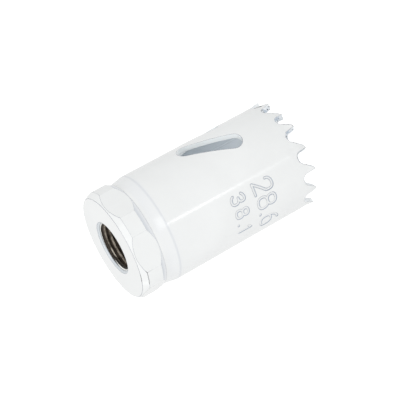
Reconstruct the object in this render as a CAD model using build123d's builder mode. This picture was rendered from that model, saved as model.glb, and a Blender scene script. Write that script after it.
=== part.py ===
"""Hole saw: a rolled, toothed steel cup welded to a threaded end cap.

It stands on its teeth. The axis is +Z, the origin is on the axis in the
plane of the tooth tips, and two flats of the collar face +Y and -Y.
Millimetres and degrees.
"""
from build123d import *
import math
import os

# ---- cup ----------------------------------------------------------------
CUP_RADIUS = 14.0  # outside of the tube
WALL = 1.27
CUT_DEPTH = 38.1  # tooth tips to the inner face of the cap

# ---- teeth: one gullet after each tip, clockwise seen from the cap -------
PITCH_WEIGHTS = [20, 23.5, 24, 25.5, 27.5, 26, 24, 22, 23.5, 25, 26.5, 25, 23, 22.5, 22]
FIRST_TIP_ANGLE = -31.4
GULLET_SLOPE = 0.142  # depth of a gullet for each degree of its pitch
BEND_SHARE = 0.9  # bent height of a tooth, as a share of the shallowest gullet's inside
TOOTH_SET = 0.3  # how far a tip is bent out or in
TIP_LAND = 0.045  # blunt end of a tip, as a share of its pitch
GULLET_SKEW = 20.0  # turns the cutting faces outwards
FLOOR_SLANT = 33.0  # gullets are deepest at the tube's surface

# ---- slots --------------------------------------------------------------
SLOT_WIDTH = 4.66
SLOT_LENGTH = 16.15
SLOT_SLANT = 25.5  # from the axis
SLOT_MIDDLE = 19.9  # above the tooth tips
FIRST_SLOT_ANGLE = -22.3
SLOT_SPACING = 45.7

# ---- weld line down the inside of the tube ------------------------------
SEAM_ANGLE = 61.8
SEAM_ROUND = 0.6
SEAM_PROUD = 0.14
SEAM_CLEAR = 0.7  # from the deepest gullet to the end of the line

# ---- end cap, from the spigot up to the outer face -----------------------
SPIGOT_DEPTH = 2.2  # inside the tube
SPIGOT_GAP = 0.02  # between the spigot and the tube
FLARE_HEIGHT = 2.4
FLARE_STEP = 0.5  # shoulder below the tube's surface
WAIST_HEIGHT = 1.2
WAIST_STEP = 0.15  # waist below the shoulder
REAR_BEVEL = 1.3  # height of the collar's lower bevel
COLLAR_HEIGHT = 5.3
COLLAR_STEP = 0.15  # round collar above the tube's surface
FLATS_INSET = 0.62  # six flats of the collar below the tube's surface
FRONT_BEVEL_HEIGHT = 1.42
FRONT_BEVEL_WIDTH = 1.0

# ---- threaded hole, half-inch by 20, at its minor diameter ---------------
THREAD_MINOR_RADIUS = 5.74
COUNTERSINK_RADIUS = 6.9
INNER_BEVEL = 0.7

# ---- sizes that follow ---------------------------------------------------
BORE_RADIUS = CUP_RADIUS - WALL
TUBE_TOP = CUT_DEPTH + SPIGOT_DEPTH
FLARE_TOP = TUBE_TOP + FLARE_HEIGHT
WAIST_TOP = FLARE_TOP + WAIST_HEIGHT
COLLAR_BOTTOM = WAIST_TOP + REAR_BEVEL
TOTAL_HEIGHT = COLLAR_BOTTOM + COLLAR_HEIGHT
SPIGOT_RADIUS = BORE_RADIUS - SPIGOT_GAP
SHOULDER_RADIUS = CUP_RADIUS - FLARE_STEP
WAIST_RADIUS = SHOULDER_RADIUS - WAIST_STEP
COLLAR_RADIUS = CUP_RADIUS + COLLAR_STEP
FACE_RADIUS = COLLAR_RADIUS - FRONT_BEVEL_WIDTH
FLAT_RADIUS = CUP_RADIUS - FLATS_INSET

PITCHES = [360 * weight / sum(PITCH_WEIGHTS) for weight in PITCH_WEIGHTS]
TIP_ANGLES = [FIRST_TIP_ANGLE - sum(PITCHES[:i]) for i in range(len(PITCHES))]
GULLET_ANGLES = [tip - pitch / 2 for tip, pitch in zip(TIP_ANGLES, PITCHES)]
FLOOR_RISE = WALL * math.tan(math.radians(FLOOR_SLANT))
BEND_HEIGHT = BEND_SHARE * (GULLET_SLOPE * min(PITCHES) - FLOOR_RISE)
SEAM_START = GULLET_SLOPE * max(PITCHES) + SEAM_CLEAR


def outward_plane(angle, height=0.0):
    """Plane through the axis whose normal points out at this angle."""
    turn = math.radians(angle)
    return Plane(
        origin=(0, 0, height),
        x_dir=(-math.sin(turn), math.cos(turn), 0),
        z_dir=(math.cos(turn), math.sin(turn), 0),
    )


def gullet_outline(pitch, radius):
    """Outline of one gullet where an outward plane touches this radius.

    At the tube's surface x = 0 is midway between two tips. The steep cutting
    face, below the tip at +x, curls into the round floor, and the back
    climbs to the next tip and rounds over onto it.
    """
    inset = radius - CUP_RADIUS
    depth = GULLET_SLOPE * pitch + inset * math.tan(math.radians(FLOOR_SLANT))
    shift = inset * math.tan(math.radians(GULLET_SKEW))

    def at(part, share):
        side = radius * math.tan(math.radians(pitch * (0.5 - part)))
        return (side + shift, depth * share)

    with BuildLine() as outline:
        face = Line(at(0.0, 0.0), at(0.03, 0.65))
        back = Line(at(0.58, 0.71), at(0.76, 0.30))
        relief = Spline(
            back @ 1,
            at(0.87, 0.08),
            at(1 - TIP_LAND, 0.0),
            tangents=(back % 1, (-1, -0.2)),
        )
        Spline(
            face @ 1,
            at(0.13, 0.94),
            at(0.285, 1.0),
            at(0.45, 0.92),
            back @ 0,
            tangents=(face % 1, back % 0),
        )
        Polyline(relief @ 1, at(1 - TIP_LAND, -0.2), at(0.0, -0.2), face @ 0)
    return outline.line


def tooth_side(index):
    """Teeth lean in and out by turns; the odd one left over leans out."""
    return 1 if index % 2 or index == len(PITCHES) - 1 else -1


# ---- toothed cup ---------------------------------------------------------
with BuildPart() as cup:
    # tube above the bent part of the teeth
    with BuildSketch(Plane.XY.offset(BEND_HEIGHT)):
        Circle(CUP_RADIUS)
        Circle(BORE_RADIUS, mode=Mode.SUBTRACT)
    extrude(amount=TUBE_TOP - BEND_HEIGHT)

    # rim: a sector for each tooth, from gullet to gullet, leaning to its side
    for i, gullet_angle in enumerate(GULLET_ANGLES):
        lean = TOOTH_SET * tooth_side(i)
        sector = (GULLET_ANGLES[i - 1] - gullet_angle) % 360
        with BuildSketch(Plane.XZ.rotated((0, 0, gullet_angle))):
            with BuildLine():
                Polyline(
                    (BORE_RADIUS, BEND_HEIGHT),
                    (CUP_RADIUS, BEND_HEIGHT),
                    (CUP_RADIUS + lean, 0),
                    (BORE_RADIUS + lean, 0),
                    close=True,
                )
            make_face()
        revolve(axis=Axis.Z, revolution_arc=sector)

    # weld line, a low round bead
    with BuildSketch(Plane.XY.offset(SEAM_START)):
        with PolarLocations(BORE_RADIUS + SEAM_ROUND - SEAM_PROUD, 1, SEAM_ANGLE):
            Circle(SEAM_ROUND)
    extrude(amount=CUT_DEPTH - SEAM_START)

    # gullets, cut askew so that cutting faces and floors are turned outwards
    for gullet_angle, pitch in zip(GULLET_ANGLES, PITCHES):
        for radius in (BORE_RADIUS - WALL, CUP_RADIUS + WALL):
            with BuildSketch(outward_plane(gullet_angle).offset(radius)):
                add(gullet_outline(pitch, radius))
                make_face()
        loft(mode=Mode.SUBTRACT)

    # slanted slots
    for i in range(2):
        slot_plane = outward_plane(FIRST_SLOT_ANGLE + i * SLOT_SPACING, SLOT_MIDDLE)
        with BuildSketch(slot_plane.offset(BORE_RADIUS / 2)):
            SlotOverall(SLOT_LENGTH, SLOT_WIDTH, rotation=90 - SLOT_SLANT)
        extrude(amount=CUP_RADIUS, mode=Mode.SUBTRACT)

# ---- end cap -------------------------------------------------------------
with BuildPart() as cap:
    # turned body
    with BuildSketch(Plane.XZ):
        with BuildLine():
            Polyline(
                (0, CUT_DEPTH),
                (0, TOTAL_HEIGHT),
                (FACE_RADIUS, TOTAL_HEIGHT),
                (COLLAR_RADIUS, TOTAL_HEIGHT - FRONT_BEVEL_HEIGHT),
                (COLLAR_RADIUS, COLLAR_BOTTOM),
                (WAIST_RADIUS, WAIST_TOP),
                (SHOULDER_RADIUS, FLARE_TOP),
                (CUP_RADIUS, TUBE_TOP),
                (SPIGOT_RADIUS, TUBE_TOP),
                (SPIGOT_RADIUS, CUT_DEPTH),
                close=True,
            )
        make_face()
    revolve(axis=Axis.Z)

    # six spanner flats, with the round collar left between them
    with BuildSketch(Plane.XY.offset(WAIST_TOP)):
        Circle(COLLAR_RADIUS + REAR_BEVEL)
        RegularPolygon(FLAT_RADIUS, 6, major_radius=False, mode=Mode.SUBTRACT)
    extrude(amount=TOTAL_HEIGHT - WAIST_TOP, mode=Mode.SUBTRACT)

    # threaded hole, with a countersink outside and a bevel inside
    with BuildSketch(Plane.XZ):
        with BuildLine():
            Polyline(
                (0, TOTAL_HEIGHT),
                (COUNTERSINK_RADIUS, TOTAL_HEIGHT),
                (THREAD_MINOR_RADIUS, TOTAL_HEIGHT - COUNTERSINK_RADIUS + THREAD_MINOR_RADIUS),
                (THREAD_MINOR_RADIUS, CUT_DEPTH + INNER_BEVEL),
                (THREAD_MINOR_RADIUS + INNER_BEVEL, CUT_DEPTH),
                (0, CUT_DEPTH),
                close=True,
            )
        make_face()
    revolve(axis=Axis.Z, mode=Mode.SUBTRACT)

os.makedirs("parts", exist_ok=True)
cup.part.label = "toothed_cup"
export_step(cup.part, "parts/toothed_cup.step")
cap.part.label = "end_cap"
export_step(cap.part, "parts/end_cap.step")
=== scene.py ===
# %% [markdown]
# # Dressing a hole saw
# A hole saw is a short steel tube with teeth cut in one end, welded to a thick
# end cap that screws onto an arbor. Both parts are sprayed with glossy white
# lacquer after the welding, so the form is plain and the interest is in small
# things: soft lacquered edges, a real thread, stamped numbers and chipped teeth.
#
# The solid model is loaded first and stays the measure of everything. All
# lengths in Blender are metres, so a small helper turns millimetres into them.

import math

import bmesh
import bpy
from mathutils import Matrix, Vector


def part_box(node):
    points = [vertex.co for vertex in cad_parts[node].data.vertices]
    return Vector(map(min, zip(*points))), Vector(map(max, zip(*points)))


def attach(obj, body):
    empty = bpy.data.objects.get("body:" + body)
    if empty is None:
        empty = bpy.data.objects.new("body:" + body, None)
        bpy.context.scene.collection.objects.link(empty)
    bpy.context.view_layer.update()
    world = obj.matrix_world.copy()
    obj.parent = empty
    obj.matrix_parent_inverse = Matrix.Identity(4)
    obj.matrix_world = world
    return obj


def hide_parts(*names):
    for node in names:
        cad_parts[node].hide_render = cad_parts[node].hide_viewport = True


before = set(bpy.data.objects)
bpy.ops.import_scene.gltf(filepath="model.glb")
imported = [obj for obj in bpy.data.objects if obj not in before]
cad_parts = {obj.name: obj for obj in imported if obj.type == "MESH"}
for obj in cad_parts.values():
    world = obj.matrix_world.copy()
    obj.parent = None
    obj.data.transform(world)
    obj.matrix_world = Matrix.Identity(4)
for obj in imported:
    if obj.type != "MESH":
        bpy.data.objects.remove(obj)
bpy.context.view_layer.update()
MM = 0.001

for name in sorted(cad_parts):
    low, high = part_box(name)
    print(name, "from z", round(low.z / MM, 2), "to", round(high.z / MM, 2), "mm")


# %% [markdown]
# ## Camera
# A camera is easiest to think of as standing at a compass direction and a
# height above the table, looking back at the part. The long lens keeps the
# tube's sides almost parallel. The saw stands on its teeth, and the camera is
# rolled far over, so that the tube lies aslant in the finished image with its
# cap at the left. A shift of half a pixel centres the view on one pixel instead
# of between four.

# %% Camera
AZIMUTH, ELEVATION, ROLL = math.radians(19.60), math.radians(19.84), math.radians(-118.86)
CAMERA_PLACE = Vector((98.223, -276.482, 131.070)) * MM
LENS, SENSOR = 115.06, 36
HALF_PIXEL = 0.5 / 400

camera = bpy.data.objects.new("camera", bpy.data.cameras.new("camera"))
bpy.context.scene.collection.objects.link(camera)
bpy.context.scene.camera = camera
camera.data.sensor_width, camera.data.lens = SENSOR, LENS
camera.data.shift_x, camera.data.shift_y = -HALF_PIXEL, HALF_PIXEL
camera.data.clip_start, camera.data.clip_end = 0.01, 100
camera.location = CAMERA_PLACE
turn = Matrix.Rotation(AZIMUTH, 3, "Z") @ Matrix.Rotation(math.pi / 2 - ELEVATION, 3, "X")
camera.rotation_euler = (turn @ Matrix.Rotation(ROLL, 3, "Z")).to_euler()
print("camera", round(camera.location.length / MM), "mm from the origin")

# %% [markdown]
# ## A working copy of a solid
# A solid arrives as loose triangles, with doubled points wherever two of its
# faces meet at an edge. That is useful: before the doubles are merged, every
# loose edge is an edge of a face, and it can be marked sharp. After merging,
# the copy is closed, so it can be cut, and its real edges are remembered. An
# edge that hardly bends is only a line between facets and stays smooth.

# %% Copy a solid, closed and with its edges marked
DOUBLES_APART = 0.00001 * MM
STILL_SMOOTH = math.radians(8)


def working_copy(node, name):
    mesh = bmesh.new()
    mesh.from_mesh(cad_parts[node].data)
    for edge in mesh.edges:
        edge.smooth = not edge.is_boundary
    for face in mesh.faces:
        face.smooth = True
        face.material_index = 0
    bmesh.ops.remove_doubles(mesh, verts=mesh.verts, dist=DOUBLES_APART)
    for edge in mesh.edges:
        if len(edge.link_faces) == 2 and edge.calc_face_angle() < STILL_SMOOTH:
            edge.smooth = True
    data = bpy.data.meshes.new(name)
    mesh.to_mesh(data)
    mesh.free()
    piece = bpy.data.objects.new(name, data)
    bpy.context.scene.collection.objects.link(piece)
    print(name, "has", len(data.polygons), "faces")
    return piece


# %% [markdown]
# ## Cutting and joining meshes
# A Boolean modifier takes a cutter away from a piece, or joins two cutters into
# one. The manifold solver is quick and exact about closed meshes whose faces
# point outwards, so every cutter is checked for that: a closed mesh turned
# inside out has a negative volume. The faces that a cut leaves behind keep the
# cutter's material, which is how a thread or a stamped mark gets a finish of
# its own. The result is made final at once.


# %% Closed meshes as objects, and Booleans between them
def mesh_object(mesh, name, materials=()):
    bmesh.ops.recalc_face_normals(mesh, faces=mesh.faces)
    if mesh.calc_volume(signed=True) < 0:
        bmesh.ops.reverse_faces(mesh, faces=mesh.faces)
    for face in mesh.faces:
        face.smooth = True
    data = bpy.data.meshes.new(name)
    mesh.to_mesh(data)
    mesh.free()
    for material in materials:
        data.materials.append(material)
    made = bpy.data.objects.new(name, data)
    bpy.context.scene.collection.objects.link(made)
    return made


def combine(piece, other, operation):
    modifier = piece.modifiers.new("combine", "BOOLEAN")
    modifier.operation = operation
    modifier.solver = "MANIFOLD"
    modifier.material_mode = "TRANSFER"
    modifier.object = other
    bpy.context.view_layer.update()
    ready = piece.evaluated_get(bpy.context.evaluated_depsgraph_get())
    made = bpy.data.meshes.new_from_object(ready)
    piece.modifiers.clear()
    old, piece.data = piece.data, made
    made.name = piece.name
    bpy.data.meshes.remove(old)
    bpy.data.objects.remove(other)


# %% [markdown]
# ## True normals for turned surfaces
# A tube in a mesh is a ring of flat strips. Smooth shading hides them only as
# well as the normals at the points are right, and long thin triangles pull
# those a little to one side, which a glossy finish shows at once. On a turned
# surface the answer is known: the normal leans up or down with the profile,
# but seen from above it points straight out from the axis, or straight in.
# Level faces, and faces that don't look straight out or in, are left alone.

# %% Set the normals of turned faces
LEVEL_FACE, ON_THE_AXIS = 0.02, 1 * MM
STRAIGHT_OUT = math.cos(math.radians(3.2))


def true_normals(piece, *turned):
    data = piece.data
    turned_slots = [data.materials.find(material.name) for material in turned]
    normals = [corner.vector.copy() for corner in data.corner_normals]
    changed = 0
    for face in data.polygons:
        if face.material_index not in turned_slots:
            continue
        across = Vector((face.normal.x, face.normal.y))
        middle = Vector((face.center.x, face.center.y))
        if across.length < LEVEL_FACE or middle.length < ON_THE_AXIS:
            continue
        side = across.normalized().dot(middle.normalized())
        if abs(side) < STRAIGHT_OUT:
            continue
        for loop in face.loop_indices:
            place = data.vertices[data.loops[loop].vertex_index].co
            out = Vector((place.x, place.y)).normalized() * math.copysign(1, side)
            level = normals[loop].z
            flat = math.sqrt(max(0.0, 1 - level * level))
            normals[loop] = Vector((out.x * flat, out.y * flat, level))
        changed += 1
    data.normals_split_custom_set(normals)
    print(piece.name, "has true normals on", changed, "turned faces")


# %% [markdown]
# ## Crisp edges after a cut
# A Boolean leaves edges that nobody has marked yet. An edge that bends more than
# a set angle is a real one and is made sharp, so its two faces shade apart.


# %% Mark the edges that a cut has left
def sharpen(piece, angle):
    mesh = bmesh.new()
    mesh.from_mesh(piece.data)
    for edge in mesh.edges:
        if len(edge.link_faces) == 2 and edge.calc_face_angle() > math.radians(angle):
            edge.smooth = False
    mesh.to_mesh(piece.data)
    mesh.free()
    print(piece.name, "is sharp where it bends more than", angle, "degrees")


# %% [markdown]
# ## Building shaders in code
# A shader is a tree of nodes with links between them. Every tree here is built
# from the same few steps, so each step is a small function: make a node and
# link it, turn a stretch of values into a smooth step, multiply two masks, mix
# two colours, and make a node group with named inputs and outputs.

# %% Make nodes and groups
FLOAT, VECTOR = "NodeSocketFloat", "NodeSocketVector"


def new_group(name, inputs, outputs):
    tree = bpy.data.node_groups.new(name, "ShaderNodeTree")
    for label, kind, value in inputs:
        socket = tree.interface.new_socket(label, in_out="INPUT", socket_type=kind)
        socket.default_value = value
    for label, kind in outputs:
        tree.interface.new_socket(label, in_out="OUTPUT", socket_type=kind)
    return tree, tree.nodes.new("NodeGroupInput"), tree.nodes.new("NodeGroupOutput")


def node(tree, kind, links=(), **settings):
    made = tree.nodes.new(kind)
    for key, value in settings.items():
        setattr(made, key, value)
    for index, source in links:
        tree.links.new(source, made.inputs[index])
    return made


# %% Step, multiply and mix
def ramp(tree, source, low, high, to_low=0.0, to_high=1.0):
    made = node(tree, "ShaderNodeMapRange", [(0, source)], clamp=True)
    made.interpolation_type = "SMOOTHSTEP"
    for index, value in ((1, low), (2, high), (3, to_low), (4, to_high)):
        made.inputs[index].default_value = value
    return made.outputs[0]


def times(tree, first, second):
    links = [(0, first), (1, second)]
    return node(tree, "ShaderNodeMath", links, operation="MULTIPLY").outputs[0]


def mix(tree, factor, first, second):
    made = node(tree, "ShaderNodeMix", [(0, factor)], data_type="RGBA")
    for index, colour in ((6, first), (7, second)):
        if isinstance(colour, tuple):
            made.inputs[index].default_value = (*colour, 1)
        else:
            tree.links.new(colour, made.inputs[index])
    return made.outputs[2]


# %% [markdown]
# ## A shared effect: soft edges
# Lacquer never has a knife edge. The Bevel node looks a little way round each
# point and gives a normal that rounds nearby edges over. How far that normal
# has turned away from the true one is also a good measure of nearness to an
# edge, so the group hands it out as a mask: a thin line on every edge, strong
# on a sharp one and faint on a blunt one.

# %% Soft edges
EDGE_STARTS, EDGE_FULL = 0.998, 0.965

soft_edges, gin, gout = new_group(
    "soft edges", [("Radius", FLOAT, 0.2 * MM)], [("Normal", VECTOR), ("Edge", FLOAT)]
)
rounded = node(soft_edges, "ShaderNodeBevel", [(0, gin.outputs["Radius"])], samples=8)
flat = node(soft_edges, "ShaderNodeNewGeometry")
agree = node(
    soft_edges,
    "ShaderNodeVectorMath",
    [(0, rounded.outputs[0]), (1, flat.outputs["Normal"])],
    operation="DOT_PRODUCT",
)
edge = ramp(soft_edges, agree.outputs["Value"], EDGE_STARTS, EDGE_FULL)
soft_edges.links.new(rounded.outputs[0], gout.inputs["Normal"])
soft_edges.links.new(edge, gout.inputs["Edge"])
print("group", soft_edges.name)

# %% [markdown]
# ## A shared effect: the skin of a sprayed coat
# Sprayed lacquer dries with a faint, very low waviness called orange peel, and
# its colour is never quite even. Two noises at different scales do both. The
# peel goes into bump, the unevenness into colour and roughness.

# %% Sprayed coat
sprayed, gin, gout = new_group(
    "sprayed coat",
    [("Peel Scale", FLOAT, 900.0), ("Cloud Scale", FLOAT, 90.0)],
    [("Height", FLOAT), ("Cloud", FLOAT)],
)
place = node(sprayed, "ShaderNodeTexCoord").outputs["Object"]
peel = node(sprayed, "ShaderNodeTexNoise", [(0, place), (2, gin.outputs["Peel Scale"])])
peel.inputs["Detail"].default_value = 2
cloud = node(sprayed, "ShaderNodeTexNoise", [(0, place), (2, gin.outputs["Cloud Scale"])])
cloud.inputs["Detail"].default_value = 4
sprayed.links.new(peel.outputs[0], gout.inputs["Height"])
sprayed.links.new(ramp(sprayed, cloud.outputs[0], 0.3, 0.7), gout.inputs["Cloud"])
print("group", sprayed.name)

# %% [markdown]
# ## Where a point is on the saw
# The finish changes from place to place: at the weld, low on the teeth, on one
# side. Object coordinates tell a shader where it is. Most masks here are a smooth
# step on height, on distance from the axis or on reach in one direction, and a
# noise breaks some of them up into flakes and spots.


# %% Places
def place_on(tree):
    return node(tree, "ShaderNodeTexCoord").outputs["Object"]


def height_of(tree):
    return node(tree, "ShaderNodeSeparateXYZ", [(0, place_on(tree))]).outputs["Z"]


def from_axis(tree):
    flat_place = node(tree, "ShaderNodeVectorMath", [(0, place_on(tree))], operation="MULTIPLY")
    flat_place.inputs[1].default_value = (1, 1, 0)
    length = node(tree, "ShaderNodeVectorMath", [(0, flat_place.outputs[0])], operation="LENGTH")
    return length.outputs["Value"]


def reach_towards(tree, degrees):
    made = node(tree, "ShaderNodeVectorMath", [(0, place_on(tree))], operation="DOT_PRODUCT")
    turn = math.radians(degrees)
    made.inputs[1].default_value = (math.cos(turn), math.sin(turn), 0)
    return made.outputs["Value"]


def noise(tree, scale, detail=2.0):
    made = node(tree, "ShaderNodeTexNoise", [(0, place_on(tree))])
    made.inputs["Scale"].default_value = scale
    made.inputs["Detail"].default_value = detail
    return made.outputs[0]


# %% Masks
WELD_LOW, WELD_HIGH = (39.3 * MM, 40.1 * MM), (42.6 * MM, 43.6 * MM)
# On one side of the saw the painted shade on edges and tooth faces is stronger, and the real
# chips and bare spots on the teeth fall there too.
SHADE_AND_CHIP_SIDE, SIDE_REACH_FROM, SIDE_REACH_TO = -50, 6 * MM, 11 * MM


def between(tree, value, rise, fall):
    return times(tree, ramp(tree, value, *rise), ramp(tree, value, *fall, 1.0, 0.0))


def near_weld(tree):
    return between(tree, height_of(tree), WELD_LOW, WELD_HIGH)


def shade_and_chip_side(tree, back):
    return ramp(tree, reach_towards(tree, SHADE_AND_CHIP_SIDE), SIDE_REACH_FROM, SIDE_REACH_TO, back, 1.0)


print("weld from z", round(WELD_LOW[0] / MM, 1), "to", round(WELD_HIGH[1] / MM, 1), "mm")

# %% [markdown]
# ## White lacquer
# A glossy white is not a plain white: it is a light, slightly cool grey with a
# clear reflection on top. A fine blue-grey line is painted along the edges: it
# is painted shade and reflection, standing for the light that a rounded lacquer
# edge turns away from. On one side of the saw this painted line is stronger.
#
# Two places differ. Between tube and cap the neck is painted a little greyer as
# shade, the edge line all but goes, and one soft line of painted shade marks the
# end of the tube. Low on the teeth, handling has chipped the coat off the edges.

# %% The weld and the chipped teeth
# The second and third colours are painted shade: a greyer neck between tube and cap, and a soft
# line at the end of the tube.
WHITE, NECK_SHADE, SEAM_SHADE = (0.80, 0.813, 0.812), (0.75, 0.765, 0.785), (0.36, 0.40, 0.48)
# The first colour here is painted shade and reflection for the edge lines; the second is real
# bare steel where the coat is chipped.
EDGE_SHADE, BARE_STEEL = (0.07, 0.10, 0.16), (0.02, 0.025, 0.035)
LINE_RISE, LINE_FALL = (39.95 * MM, 40.25 * MM), (40.4 * MM, 40.8 * MM)
TEETH_TOP = (4.2 * MM, 2.8 * MM)
FLAKES = 1500


# Painted shade: a soft line at the tube's end and a greyer neck, broken up by a cloud.
def at_the_weld(tree, finish, weld, cloud):
    line = between(tree, height_of(tree), LINE_RISE, LINE_FALL)
    line = times(tree, line, ramp(tree, cloud, 0, 1, 0.42, 0.22))
    finish = mix(tree, line, finish, SEAM_SHADE)
    neck_shade = times(tree, weld, ramp(tree, cloud, 0, 1, 0.7, 0.2))
    return mix(tree, neck_shade, finish, NECK_SHADE)


def on_the_teeth(tree, finish, edge):
    low = ramp(tree, height_of(tree), *TEETH_TOP)
    chipped = times(tree, ramp(tree, noise(tree, FLAKES, 3), 0.56, 0.60), low)
    chipped = times(tree, chipped, shade_and_chip_side(tree, back=0.3))
    chipped = times(tree, chipped, ramp(tree, edge, 0.0, 0.3))
    return mix(tree, chipped, finish, BARE_STEEL)


print("chips from z", round(TEETH_TOP[0] / MM, 1), "mm down")

# %% [markdown]
# One function mixes every lacquer on the saw. What differs is the colour, how
# strong the painted edge shade is, how far the edges are rounded, and whether the
# teeth are chipped or the painted edge shade is stronger on one side.

# %% White lacquer
SOFT_RADIUS, WELD_RADIUS = 0.2 * MM, 0.03 * MM
WELD_EDGE = 0.05
PEEL_DEPTH = 0.003 * MM


def lacquer(name, colour, line, radius=SOFT_RADIUS, chips=False, shade_one_side=False):
    material = bpy.data.materials.new(name)
    material.use_nodes = True
    tree = material.node_tree
    shader = tree.nodes["Principled BSDF"]
    coat = node(tree, "ShaderNodeGroup", node_tree=sprayed)
    cloud = coat.outputs["Cloud"]
    weld = near_weld(tree)

    edges = node(tree, "ShaderNodeGroup", node_tree=soft_edges)
    tree.links.new(ramp(tree, weld, 0, 1, radius, WELD_RADIUS), edges.inputs["Radius"])
    # The edge line is painted shade and reflection on the rounded edges, and on one side it is
    # painted stronger.
    amount = times(tree, edges.outputs["Edge"], ramp(tree, weld, 0, 1, line, WELD_EDGE))
    if shade_one_side:
        amount = times(tree, amount, shade_and_chip_side(tree, back=0.35))
    amount = times(tree, amount, ramp(tree, cloud, 0, 1, 1.0, 0.55))

    tinted = mix(tree, cloud, colour, tuple(0.97 * c for c in colour))
    finish = mix(tree, amount, tinted, EDGE_SHADE)
    finish = at_the_weld(tree, finish, weld, cloud)
    if chips:
        finish = on_the_teeth(tree, finish, edges.outputs["Edge"])

    heights = [("Height", coat.outputs["Height"]), ("Normal", edges.outputs["Normal"])]
    bump = node(tree, "ShaderNodeBump", heights)
    bump.inputs["Strength"].default_value = 0.2
    bump.inputs["Distance"].default_value = PEEL_DEPTH
    tree.links.new(finish, shader.inputs["Base Color"])
    tree.links.new(ramp(tree, cloud, 0, 1, 0.10, 0.14), shader.inputs["Roughness"])
    tree.links.new(bump.outputs[0], shader.inputs["Normal"])
    print("material", name)
    return material


cup_lacquer = lacquer("cup_lacquer", WHITE, 0.85, chips=True, shade_one_side=True)
cap_lacquer = lacquer("cap_lacquer", WHITE, 1.0)
# The inside gets a bluer white: a painted tint for the blue-grey shade inside the tube.
bore_shade_tint = lacquer("bore_shade_tint", (0.80, 0.85, 0.89), 0.5)
# The slot walls are painted lighter than the white, as painted light.
slot_wall_painted_light = lacquer("slot_wall_painted_light", (0.96, 0.99, 0.995), 0.35, 0.06 * MM, shade_one_side=True)
# The sloping walls of the stamped grooves are painted blue-grey, as painted shade.
stamp_wall_shade = lacquer("stamp_wall_shade", (0.41, 0.47, 0.56), 0.2)
# The countersink is painted a shaded grey, as painted shade on the white lacquer.
rim_shade_and_highlight = lacquer("rim_shade_and_highlight", (0.66, 0.70, 0.73), 0.9)

# %% [markdown]
# Two hard knocks have taken the coat off: a short stretch of the collar's edge,
# and the back of one tooth. A knock is bare steel laid over the finish, only
# near one point and only along an edge.

# %% Knocks
COLLAR_KNOCK = Vector((-6.2, -12.6, 49.1)) * MM
TOOTH_KNOCK = Vector((14.0, -0.2, 1.9)) * MM


def lay_over(tree, amount, colour):
    base = tree.nodes["Principled BSDF"].inputs["Base Color"]
    tree.links.new(mix(tree, amount, base.links[0].from_socket, colour), base)


def knock(material, at, reach, width):
    tree = material.node_tree
    away = node(tree, "ShaderNodeVectorMath", [(0, place_on(tree))], operation="DISTANCE")
    away.inputs[1].default_value = at
    knocked = node(tree, "ShaderNodeGroup", node_tree=soft_edges)
    knocked.inputs["Radius"].default_value = width
    bare = ramp(tree, away.outputs["Value"], 0.72 * reach, reach, 1.0, 0.0)
    bare = times(tree, bare, ramp(tree, knocked.outputs["Edge"], 0.0, 0.4))
    lay_over(tree, bare, BARE_STEEL)
    print("knock at", [round(c / MM, 1) for c in at])


knock(cap_lacquer, COLLAR_KNOCK, 2.5 * MM, 0.27 * MM)
knock(cup_lacquer, TOOTH_KNOCK, 1.3 * MM, 0.9 * MM)

# %% [markdown]
# A plug keeps the lacquer out of the thread. It sits in the countersink and
# leaves a clean round line there, inside which the steel is bare and dark. At
# that line the lacquer's lip carries a painted highlight, and just outside it a
# fine dark line is painted shade.

# %% The line left by the plug, with a painted highlight and painted shade
# From the outside in: a painted shade line, a painted highlight on the lip, then real bare
# steel.
RIM_SHADE_HIGHLIGHT_BARE = (
    (6.42 * MM, (0.20, 0.23, 0.27)),
    (6.32 * MM, (0.88, 0.88, 0.84)),
    (6.10 * MM, (0.03, 0.027, 0.024)),
)
RING_BLUR = 0.06 * MM

tree = rim_shade_and_highlight.node_tree
shader = tree.nodes["Principled BSDF"]
reach = from_axis(tree)
for ring, tone in RIM_SHADE_HIGHLIGHT_BARE:
    inside = ramp(tree, reach, ring, ring + RING_BLUR, 1.0, 0.0)
    lay_over(tree, inside, tone)
tree.links.new(inside, shader.inputs["Metallic"])
tree.links.new(ramp(tree, inside, 0, 1, 0.12, 0.5), shader.inputs["Roughness"])
print("the plug covers the thread out to", round(ring / MM, 2), "mm")

# %% [markdown]
# ## Painted shade behind the collar and on the teeth
# Behind the collar the coat is painted greyer as shade, darkening further towards
# the edge. On the cut faces of the teeth a blue-grey painted shade is broken up
# by a noise and is weaker at the tips. Elsewhere the faces are pale, and the coat
# is gone in small spots.

# %% Painted shade on two coats
COLLAR_BACK = (44.0 * MM, 45.2 * MM)
TOOTH_TIP = (0.3 * MM, 1.6 * MM)
SHADE_BREAKUP, SPOTS = 1200, 1600


def coat_with_painted_shade(name, lighter_tone, shade_tone, shade_mask, spots):
    material = lacquer(name, lighter_tone, 0.4, 0.1 * MM, shade_one_side=spots)
    tree = material.node_tree
    lay_over(tree, shade_mask(tree), shade_tone)
    if spots:
        bare = ramp(tree, noise(tree, SPOTS), 0.585, 0.625)
        lay_over(tree, times(tree, bare, shade_and_chip_side(tree, back=0.0)), BARE_STEEL)
    return material


def towards_collar_edge(tree):
    return ramp(tree, height_of(tree), *COLLAR_BACK)


def tooth_face_shade(tree):
    away_from_tip = ramp(tree, height_of(tree), *TOOTH_TIP, 0.35, 1.0)
    broken_shade = times(tree, ramp(tree, noise(tree, SHADE_BREAKUP), 0.42, 0.56), away_from_tip)
    return times(tree, broken_shade, shade_and_chip_side(tree, back=0.15))


# Painted shade: the back of the collar is greyer, and darker towards its edge.
collar_back = coat_with_painted_shade(
    "collar_back", (0.76, 0.78, 0.80), (0.62, 0.65, 0.69), towards_collar_edge, spots=False
)
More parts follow.
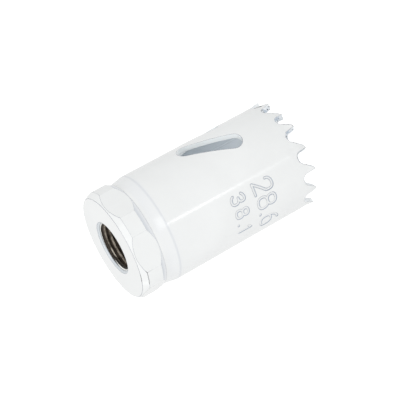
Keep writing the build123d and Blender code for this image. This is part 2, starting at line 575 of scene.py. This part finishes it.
# Painted shade on the tooth faces, with real bare spots.
tooth_lacquer = coat_with_painted_shade(
    "tooth_lacquer", (0.92, 0.94, 0.95), (0.56, 0.63, 0.71), tooth_face_shade, spots=True
)

# %% [markdown]
# ## Thread steel
# The thread is masked while the saw is sprayed, so it stays bare: dark, oily
# steel with tool marks that run along the thread. A noise squeezed flat along
# the axis makes the marks.

# %% Thread steel
DARK_OIL, DRY_STEEL = (0.060, 0.046, 0.034), (0.20, 0.165, 0.13)
OIL_PATCHES, SQUEEZED = 700, (120, 120, 6000)
MARK_DEPTH = 0.02 * MM

thread_steel = bpy.data.materials.new("thread_steel")
thread_steel.use_nodes = True
tree = thread_steel.node_tree
shader = tree.nodes["Principled BSDF"]
shader.inputs["Metallic"].default_value = 0.6
oil = noise(tree, OIL_PATCHES, 5)
tone = mix(tree, ramp(tree, oil, 0.35, 0.7), DARK_OIL, DRY_STEEL)
tree.links.new(tone, shader.inputs["Base Color"])
tree.links.new(ramp(tree, oil, 0.3, 0.7, 0.65, 0.42), shader.inputs["Roughness"])

marks = node(tree, "ShaderNodeMapping", [(0, place_on(tree))])
marks.inputs["Scale"].default_value = SQUEEZED
lines = node(tree, "ShaderNodeTexNoise", [(0, marks.outputs[0])])
lines.inputs["Scale"].default_value = 1.0
grooves = node(tree, "ShaderNodeBump", [("Height", lines.outputs[0])])
grooves.inputs["Strength"].default_value = 0.5
grooves.inputs["Distance"].default_value = MARK_DEPTH
tree.links.new(grooves.outputs[0], shader.inputs["Normal"])
print("material", thread_steel.name)

# %% [markdown]
# Arbors have worn the thread's crests to a lighter grey. Just inside the mouth
# the thread is darker, and on one stretch below it the first turn carries a
# painted highlight.

# %% Wear, a darker mouth and a painted highlight in the thread
WORN, DARK_MOUTH, PAINTED_HIGHLIGHT = (0.76, 0.68, 0.57), (0.040, 0.030, 0.021), (0.98, 0.91, 0.78)
CREST = (5.74 * MM, 5.80 * MM)
DARK_MOUTH_FROM = (49.10 * MM, 49.40 * MM)
HIGHLIGHT_RISE, HIGHLIGHT_FALL = (48.90 * MM, 49.05 * MM), (49.25 * MM, 49.40 * MM)
HIGHLIGHT_SIDE, HIGHLIGHT_REACH = 120, (5.55 * MM, 5.72 * MM)

worn = ramp(tree, from_axis(tree), *CREST, 1.0, 0.0)
lay_over(tree, times(tree, worn, ramp(tree, oil, 0.38, 0.62, 0.25, 1.0)), WORN)
# The thread is darker just inside the mouth.
lay_over(tree, ramp(tree, height_of(tree), *DARK_MOUTH_FROM), DARK_MOUTH)
# A painted highlight lies on one stretch of the first turn.
stretch = ramp(tree, reach_towards(tree, HIGHLIGHT_SIDE), *HIGHLIGHT_REACH)
highlight_band = between(tree, height_of(tree), HIGHLIGHT_RISE, HIGHLIGHT_FALL)
lay_over(tree, times(tree, highlight_band, stretch), PAINTED_HIGHLIGHT)
# The print below gives the direction of the painted highlight.
print("polished stretch at", HIGHLIGHT_SIDE, "degrees")

# %% [markdown]
# ## The thread
# A half-inch thread with twenty turns to the inch has a pitch of 1.27 mm. The
# tap's cutting profile, a blunt V, is turned round the axis and raised by one
# pitch each turn, which is what the spin operator does when it is given a
# small lift for each step. The worm it makes is then cut out of the cap, from
# above the countersink to below the inner face, so the thread starts and runs
# out as a real one does.

# %% The worm that cuts the thread
PITCH, MINOR, MAJOR = 1.27 * MM, 5.74 * MM, 6.35 * MM
STEPS = 72
INSIDE_BORE = 0.14 * MM
HALF_ROOT = PITCH / 16
FLANK = math.radians(30)


def tap(low, high):
    inner = MINOR - INSIDE_BORE
    half_mouth = HALF_ROOT + (MAJOR - inner) * math.tan(FLANK)
    worm = bmesh.new()
    corners = [
        worm.verts.new((x, 0, low + z))
        for x, z in (
            (inner, -half_mouth),
            (MAJOR, -HALF_ROOT),
            (MAJOR, HALF_ROOT),
            (inner, half_mouth),
        )
    ]
    ring = [worm.edges.new((corners[i - 1], corners[i])) for i in range(4)]
    turns = (high - low) / PITCH
    steps = round(turns * STEPS)
    bmesh.ops.spin(
        worm,
        geom=corners + ring,
        cent=(0, 0, 0),
        axis=(0, 0, 1),
        dvec=(0, 0, PITCH / STEPS),
        angle=2 * math.pi * steps / STEPS,
        steps=steps,
        use_merge=False,
        use_duplicate=False,
    )
    bmesh.ops.holes_fill(worm, edges=[e for e in worm.edges if e.is_boundary], sides=4)
    print("worm of", round(turns, 1), "turns and", len(worm.faces), "faces")
    return mesh_object(worm, "tap", [thread_steel])


# %% Tap the end cap
START_BELOW, END_ABOVE = 1.05 * PITCH, 1.95 * PITCH

cap = working_copy("end_cap", "end_cap_lacquered")
cap.data.materials.clear()
cap.data.materials.append(cap_lacquer)
cap_low, cap_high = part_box("end_cap")
combine(cap, tap(cap_low.z - START_BELOW, cap_high.z + END_ABOVE), "DIFFERENCE")
print(cap.name, "has", len(cap.data.polygons), "faces with its thread")

# %% [markdown]
# ## Choosing faces by where they are
# A face of a turned part is known by three things: how far from the axis it
# is, how high, and which way it faces. A small test on those picks out the
# countersink or the inside of the tube, whatever the mesh looks like.


# %% Give chosen faces a finish of their own
def give(piece, material, chosen):
    materials = piece.data.materials
    if materials.find(material.name) < 0:
        materials.append(material)
    slot = materials.find(material.name)
    count = 0
    for face in piece.data.polygons:
        middle = face.center
        radius = math.hypot(middle.x, middle.y)
        outwards = (face.normal.x * middle.x + face.normal.y * middle.y) / max(radius, MM)
        if face.material_index == 0 and chosen(
            radius / MM, middle.z / MM, outwards, face.normal.z
        ):
            face.material_index = slot
            count += 1
    print(material.name, "on", count, "faces of", piece.name)


# %% [markdown]
# The cap gets four finishes besides its white: the plugged countersink in a
# grey painted shade with a painted highlight at its lip, the painted shade behind
# the collar, the inside of the saw tinted bluer as painted shade, and bare steel
# on the crests of the thread, which are what is left of the old bore.

# %% Places on the cap, in millimetres
SINK_RADIUS, SINK_FROM = 7, 49
COLLAR_INSIDE, REAR_BEVEL = 13, (43.9, 45.3)
INNER_FACE_BELOW = 38.9
CREST_RADIUS = 6


def in_countersink(r, z, outwards, up):
    return r < SINK_RADIUS and z > SINK_FROM and 0.3 < up < 0.9


def behind_collar(r, z, outwards, up):
    return r > COLLAR_INSIDE and REAR_BEVEL[0] < z < REAR_BEVEL[1] and up < -0.3


def on_inner_face(r, z, outwards, up):
    return z < INNER_FACE_BELOW


def on_crests(r, z, outwards, up):
    return r < CREST_RADIUS and outwards < -0.9


# %% Finish the cap's surface
sharpen(cap, 28)
give(cap, rim_shade_and_highlight, in_countersink)
give(cap, collar_back, behind_collar)
give(cap, bore_shade_tint, on_inner_face)
give(cap, thread_steel, on_crests)
true_normals(cap, cap_lacquer, rim_shade_and_highlight, collar_back, bore_shade_tint)
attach(cap, "root")
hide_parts("end_cap")

# %% [markdown]
# ## Stamped numbers
# The tube carries two plain sizes in millimetres, struck into the steel before
# it is sprayed. A stamp leaves a shallow groove with a flat floor, sloping
# walls and round ends. So each figure is drawn as a few strokes one unit high,
# each stroke becomes a bar with that cross-section, and a blunt cone rounds off
# each of its ends. Loops, which end where they start, need no cones.

# %% Figures as strokes
FIGURES = {
    "1": [[(0.08, 0.80), (0.30, 1.0)], [(0.30, 1.0), (0.30, 0.0)]],
    "2": [
        [(0.03, 0.76), (0.04, 1.0), (0.58, 1.06), (0.62, 0.62), (0.34, 0.40), (0.02, 0.0)],
        [(0.02, 0.0), (0.60, 0.0)],
    ],
    "3": [
        [(0.03, 0.86), (0.14, 1.0), (0.58, 1.04), (0.58, 0.55), (0.24, 0.55)],
        [(0.24, 0.55), (0.64, 0.55), (0.62, -0.03), (0.12, -0.02), (0.01, 0.18)],
    ],
    "6": [
        [(0.48, 1.0), (0.0, 0.90), (0.0, 0.30)],
        [(0.0, 0.0), (0.60, 0.0), (0.60, 0.60), (0.0, 0.60), (0.0, 0.0)],
    ],
    "8": [
        [(0.04, 0.54), (0.56, 0.54), (0.56, 1.0), (0.04, 1.0), (0.04, 0.54)],
        [(0.0, 0.0), (0.60, 0.0), (0.60, 0.54), (0.0, 0.54), (0.0, 0.0)],
    ],
    ".": [[(0.02, 0.0), (0.06, 0.0)]],
}
ADVANCE, USUAL_ADVANCE = {"1": 0.62, ".": 0.36}, 0.92


def strokes_of(text, height, spread):
    placed, at = [], 0.0
    for figure in text:
        for stroke in FIGURES[figure]:
            placed.append([((at + x) * height, y * height) for x, y in stroke])
        at += ADVANCE.get(figure, USUAL_ADVANCE) * spread
    return placed


print("figures", " ".join(FIGURES))

# %% [markdown]
# A curve with a bevel object carries the groove's cross-section along a stroke,
# which saves working out the corners by hand. The bar stands a little proud of
# the tube, so that the cut is clean at the surface.

# %% The groove's cross-section
FLOOR_HALF, MOUTH_HALF, DEPTH, ABOVE = 0.25 * MM, 0.38 * MM, 0.12 * MM, 0.10 * MM


def profile_curve():
    line = bpy.data.curves.new("groove profile", "CURVE")
    spline = line.splines.new("POLY")
    spline.points.add(3)
    for point, (x, y) in zip(
        spline.points,
        ((-MOUTH_HALF, ABOVE), (-FLOOR_HALF, -DEPTH), (FLOOR_HALF, -DEPTH), (MOUTH_HALF, ABOVE)),
    ):
        point.co = (x, y, 0, 1)
    spline.use_cyclic_u = True
    return bpy.data.objects.new("groove profile", line)


PROFILE = profile_curve()
print("groove", round(DEPTH / MM, 2), "mm deep, floor", round(2 * FLOOR_HALF / MM, 2), "mm wide")


# %% One stroke as a bar
def bar(stroke):
    closed = stroke[0] == stroke[-1]
    points = stroke[:-1] if closed else stroke
    line = bpy.data.curves.new("stroke", "CURVE")
    line.dimensions = "3D"
    line.twist_mode = "Z_UP"
    line.bevel_mode = "OBJECT"
    line.bevel_object = PROFILE
    line.use_fill_caps = not closed
    spline = line.splines.new("NURBS")
    spline.points.add(len(points) - 1)
    for point, (x, y) in zip(spline.points, points):
        point.co = (x, y, 0, 1)
    spline.use_cyclic_u = closed
    spline.order_u = min(3, len(points))
    spline.use_endpoint_u = not closed
    spline.resolution_u = 10
    drawn = bpy.data.objects.new("stroke", line)
    bpy.context.scene.collection.objects.link(drawn)
    bpy.context.view_layer.update()
    solid = bpy.data.meshes.new_from_object(
        drawn.evaluated_get(bpy.context.evaluated_depsgraph_get())
    )
    mesh = bmesh.new()
    mesh.from_mesh(solid)
    bpy.data.objects.remove(drawn)
    bmesh.ops.remove_doubles(mesh, verts=mesh.verts, dist=0.001 * MM)
    return mesh


# %% [markdown]
# The cone at a stroke's end is a hundredth wider than the bar, so that its side
# cuts through the bar's instead of lying in it. Faces that only touch are hard to
# join cleanly.

# %% The round end of a stroke
WIDER = (1.01, 1.01, 1)


def cone(x, y):
    mesh = bmesh.new()
    bmesh.ops.create_cone(
        mesh,
        cap_ends=True,
        segments=32,
        radius1=FLOOR_HALF,
        radius2=MOUTH_HALF,
        depth=DEPTH + ABOVE,
        matrix=Matrix.Translation((x, y, (ABOVE - DEPTH) / 2)),
    )
    centre = Matrix.Translation((-x, -y, 0))
    bmesh.ops.scale(mesh, verts=mesh.verts, vec=WIDER, space=centre)
    return mesh


# %% [markdown]
# ## Wrapping a flat drawing round a tube
# A flat drawing becomes one on a tube when every distance across it is used as
# an arc instead: the distance divided by the radius is the angle. The figures
# stand upright when the teeth point up, so here they hang head down. Only the
# groove's sloping sides are painted a greyer colour, as painted shade, and its
# flat floor stays white.

# %% Wrap a drawing round the tube
TUBE_RADIUS = 14.0 * MM


def wrap(mesh, start_angle, base_height):
    for vert in mesh.verts:
        x, y, z = vert.co
        angle = math.radians(start_angle) - x / TUBE_RADIUS
        out = TUBE_RADIUS + z
        vert.co = (out * math.cos(angle), out * math.sin(angle), base_height - y)
    return mesh


# %% Strike the numbers into the tube
JUST_OVER_FLOOR = TUBE_RADIUS - 0.9 * DEPTH
STRUCK = (
    ("28.6", 5.0 * MM, 0.92, -81.5, 17.1 * MM),
    ("38.1", 3.4 * MM, 1.22, -83.5, 23.4 * MM),
)

cup = working_copy("toothed_cup", "toothed_cup_lacquered")
cup.data.materials.clear()
cup.data.materials.append(cup_lacquer)
for text, height, spread, start, base in STRUCK:
    punch = None
    for stroke in strokes_of(text, height, spread):
        marks = [bar(stroke)]
        if stroke[0] != stroke[-1]:
            marks += [cone(*stroke[0]), cone(*stroke[-1])]
        for mark in marks:
            part = mesh_object(wrap(mark, start, base), "punch", [cup_lacquer, stamp_wall_shade])
            for face in part.data.polygons:
                corners = [part.data.vertices[v].co.xy.length for v in face.vertices]
                face.material_index = int(max(corners) > JUST_OVER_FLOOR)
            if punch is None:
                punch = part
            else:
                combine(punch, part, "UNION")
    print("struck", text, "with a punch of", len(punch.data.polygons), "faces")
    combine(cup, punch, "DIFFERENCE")


# %% [markdown]
# The cup gets three finishes besides its white: the inside of the tube, tinted
# bluer as painted shade, the cut walls of the slots, painted lighter as painted
# light, and the cut faces of the teeth, with painted shade and real chips.

# %% Places on the cup, in millimetres
INSIDE_RADIUS = 12.9
ABOVE_TEETH, TEETH_BELOW = 5, 4.5


def in_tube(r, z, outwards, up):
    return r < INSIDE_RADIUS


def on_slot_walls(r, z, outwards, up):
    return z > ABOVE_TEETH and outwards < 0.8


def on_cut_teeth(r, z, outwards, up):
    return z < TEETH_BELOW and outwards < 0.9


# %% Finish the cup's surface
sharpen(cup, 24)
give(cup, bore_shade_tint, in_tube)
give(cup, slot_wall_painted_light, on_slot_walls)
give(cup, tooth_lacquer, on_cut_teeth)
true_normals(cup, cup_lacquer, bore_shade_tint)
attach(cup, "root")
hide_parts("toothed_cup")

# %% [markdown]
# ## A lit table and a soft room
# White things are shown on a sheet of milky plastic that is lit from below, so
# that nothing throws a shadow and the ground stays a clean white. A sheet that
# gives off light of its own and scatters the rest does the same here. The camera
# sees it as pure white, while it lights the saw with a little over half of that.

# %% Lit table
TABLE_RADIUS, TABLE_GAP = 3.0, 0.01 * MM
TABLE_LIGHT, TABLE_SEEN = 0.57, 1.0

table_mesh = bmesh.new()
bmesh.ops.create_circle(table_mesh, cap_ends=True, segments=96, radius=TABLE_RADIUS)
bmesh.ops.translate(table_mesh, verts=table_mesh.verts, vec=(0, 0, -TABLE_GAP))
milky = bpy.data.materials.new("milky_sheet")
milky.use_nodes = True
tree = milky.node_tree
shader = tree.nodes["Principled BSDF"]
shader.inputs["Base Color"].default_value = (0.30, 0.30, 0.30, 1)
shader.inputs["Roughness"].default_value = 0.9
shader.inputs["Emission Color"].default_value = (1, 1, 1, 1)
ray = node(tree, "ShaderNodeLightPath")
tree.links.new(
    ramp(tree, ray.outputs["Is Camera Ray"], 0.0, 1.0, TABLE_LIGHT, TABLE_SEEN),
    shader.inputs["Emission Strength"],
)
table = mesh_object(table_mesh, "table", [milky])
print("lit table", 2 * TABLE_RADIUS, "m across")

# %% [markdown]
# One thing is allowed to shine in the lacquer. A narrow strip light lies on the
# sheet and points away from the saw. The tube bends its reflection into a fine
# bright line from end to end. The strip widens and brightens with distance,
# because the top of the tube mirrors its far end.

# %% Strip light
NEAR_HALF, FAR_HALF = 0.5 * MM, 4.2 * MM
BRIGHTENS, DIM, BRIGHT = (30 * MM, 110 * MM), 1.6, 6.0

strip_mesh = bmesh.new()
near, far = Vector((4.6, -23.0, 0.05)) * MM, Vector((22.4, -141.0, 0.05)) * MM
along = (far - near).normalized()
across = Vector((-along.y, along.x, 0))
corners = [
    strip_mesh.verts.new(end + across * side * half)
    for end, half in ((near, NEAR_HALF), (far, FAR_HALF))
    for side in (-1, 1)
]
strip_mesh.faces.new((corners[0], corners[1], corners[3], corners[2]))
strip_light = bpy.data.materials.new("strip_light")
strip_light.use_nodes = True
tree = strip_light.node_tree
shader = tree.nodes["Principled BSDF"]
shader.inputs["Base Color"].default_value = (1, 1, 1, 1)
shader.inputs["Emission Color"].default_value = (1, 1, 1, 1)
far_off = node(tree, "ShaderNodeVectorMath", [(0, place_on(tree))], operation="LENGTH")
tree.links.new(
    ramp(tree, far_off.outputs["Value"], *BRIGHTENS, DIM, BRIGHT),
    shader.inputs["Emission Strength"],
)
strip = mesh_object(strip_mesh, "strip_light", [strip_light])
print("strip light", round((far - near).length / MM), "mm long")

# %% [markdown]
# The room is an even white, a tenth dimmer for the saw than for the camera, with
# soft lamps overhead, in front and at one side.
# A tiny lamp on the table inside the tube keeps the view through the slot clear,
# and the camera doesn't see the lamp itself.

# %% Room and lamps
ROOM_LIGHT, ROOM_SEEN = 0.90, 1.0

world = bpy.data.worlds.new("room")
bpy.context.scene.world = world
world.use_nodes = True
tree = world.node_tree
tree.nodes.clear()
ray = node(tree, "ShaderNodeLightPath")
level = ramp(tree, ray.outputs["Is Camera Ray"], 0.0, 1.0, ROOM_LIGHT, ROOM_SEEN)
room = node(tree, "ShaderNodeBackground", [(1, level)])
room.inputs["Color"].default_value = (1.0, 1.0, 1.0, 1)
node(tree, "ShaderNodeOutputWorld", [(0, room.outputs[0])])


def soft_light(name, place, aim, size, power):
    lamp = bpy.data.lights.new(name, "AREA")
    lamp.shape = "RECTANGLE"
    lamp.size, lamp.size_y = size
    lamp.energy = power
    made = bpy.data.objects.new(name, lamp)
    bpy.context.scene.collection.objects.link(made)
    made.location = place
    made.rotation_euler = (Vector(aim) - Vector(place)).to_track_quat("-Z", "Y").to_euler()
    print(name, power, "W")
    return made


soft_light("overhead", (0.1, -0.2, 0.7), (0, 0, 0.02), (0.5, 0.5), 0.9)
soft_light("front", (0.20, -0.62, 0.22), (0, 0, 0.03), (0.30, 0.30), 0.55)
soft_light("side", (-0.65, -0.10, 0.20), (0, 0, 0.03), (0.35, 0.35), 0.4)
inside = soft_light("inside the tube", (0, 0, 0.001), (0, 0, 0.03), (0.014, 0.014), 0.0003)
inside.visible_camera = False

bpy.context.scene.view_settings.view_transform = "Standard"
